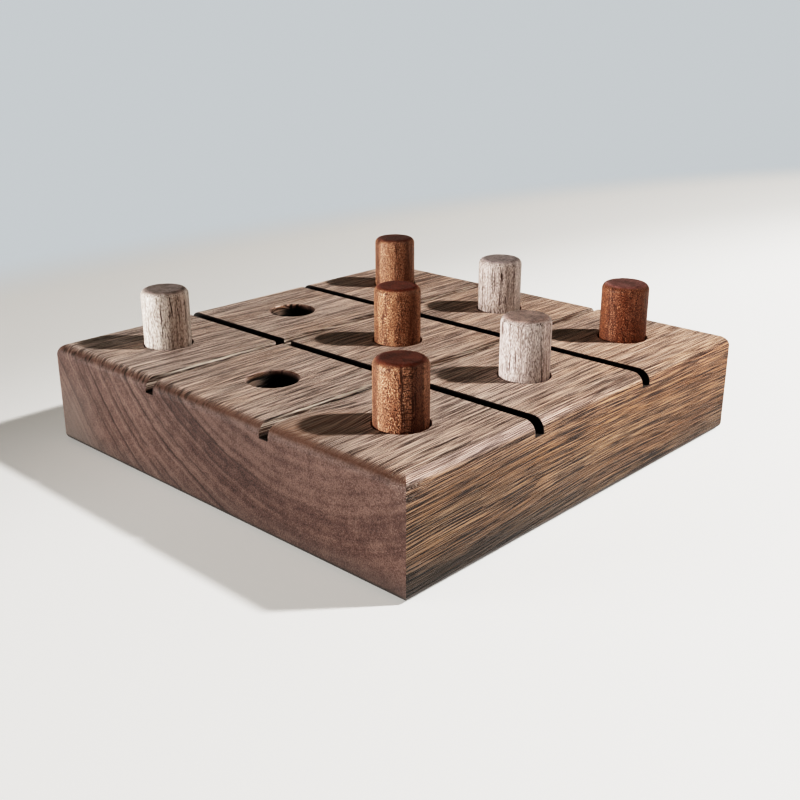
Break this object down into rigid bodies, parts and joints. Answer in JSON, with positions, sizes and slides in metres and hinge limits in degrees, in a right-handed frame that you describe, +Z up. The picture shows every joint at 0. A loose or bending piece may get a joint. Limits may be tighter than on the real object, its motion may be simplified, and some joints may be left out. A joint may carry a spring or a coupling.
{
  "type": "tic-tac-toe game",
  "caption": "Solid wooden tic-tac-toe board with sawn grid grooves and round peg holes, with loose dark and light wooden pegs standing in a game in play.",
  "frame": {"origin": "centre of the board's underside", "axes": "+X along the grain of the board, +Y across the grain, +Z up along the pegs"},
  "size_m": [0.136, 0.133, 0.0442],
  "materials": {
    "board_wood": "oiled open-pored dark hardwood, satin",
    "dark_peg_wood": "oiled red-brown hardwood, satin",
    "light_peg_wood": "bare pale hardwood with dark pores, matt"
  },
  "bodies": {
    "board": {"board": "board_wood"},
    "dark_peg_1": {"dark_peg_1": "dark_peg_wood"},
    "dark_peg_2": {"dark_peg_2": "dark_peg_wood"},
    "dark_peg_3": {"dark_peg_3": "dark_peg_wood"},
    "dark_peg_4": {"dark_peg_4": "dark_peg_wood"},
    "light_peg_1": {"light_peg_1": "light_peg_wood"},
    "light_peg_2": {"light_peg_2": "light_peg_wood"},
    "light_peg_3": {"light_peg_3": "light_peg_wood"}
  },
  "joints": [
    {"name": "dark_peg_1_lift", "type": "slide", "parent": "board", "child": "dark_peg_1", "axis": [0, 0, 1], "range_m": [0, 0.02]},
    {"name": "dark_peg_2_lift", "type": "slide", "parent": "board", "child": "dark_peg_2", "axis": [0, 0, 1], "range_m": [0, 0.02]},
    {"name": "dark_peg_3_lift", "type": "slide", "parent": "board", "child": "dark_peg_3", "axis": [0, 0, 1], "range_m": [0, 0.02]},
    {"name": "dark_peg_4_lift", "type": "slide", "parent": "board", "child": "dark_peg_4", "axis": [0, 0, 1], "range_m": [0, 0.02]},
    {"name": "light_peg_1_lift", "type": "slide", "parent": "board", "child": "light_peg_1", "axis": [0, 0, 1], "range_m": [0, 0.02]},
    {"name": "light_peg_2_lift", "type": "slide", "parent": "board", "child": "light_peg_2", "axis": [0, 0, 1], "range_m": [0, 0.02]},
    {"name": "light_peg_3_lift", "type": "slide", "parent": "board", "child": "light_peg_3", "axis": [0, 0, 1], "range_m": [0, 0.02]}
  ]
}
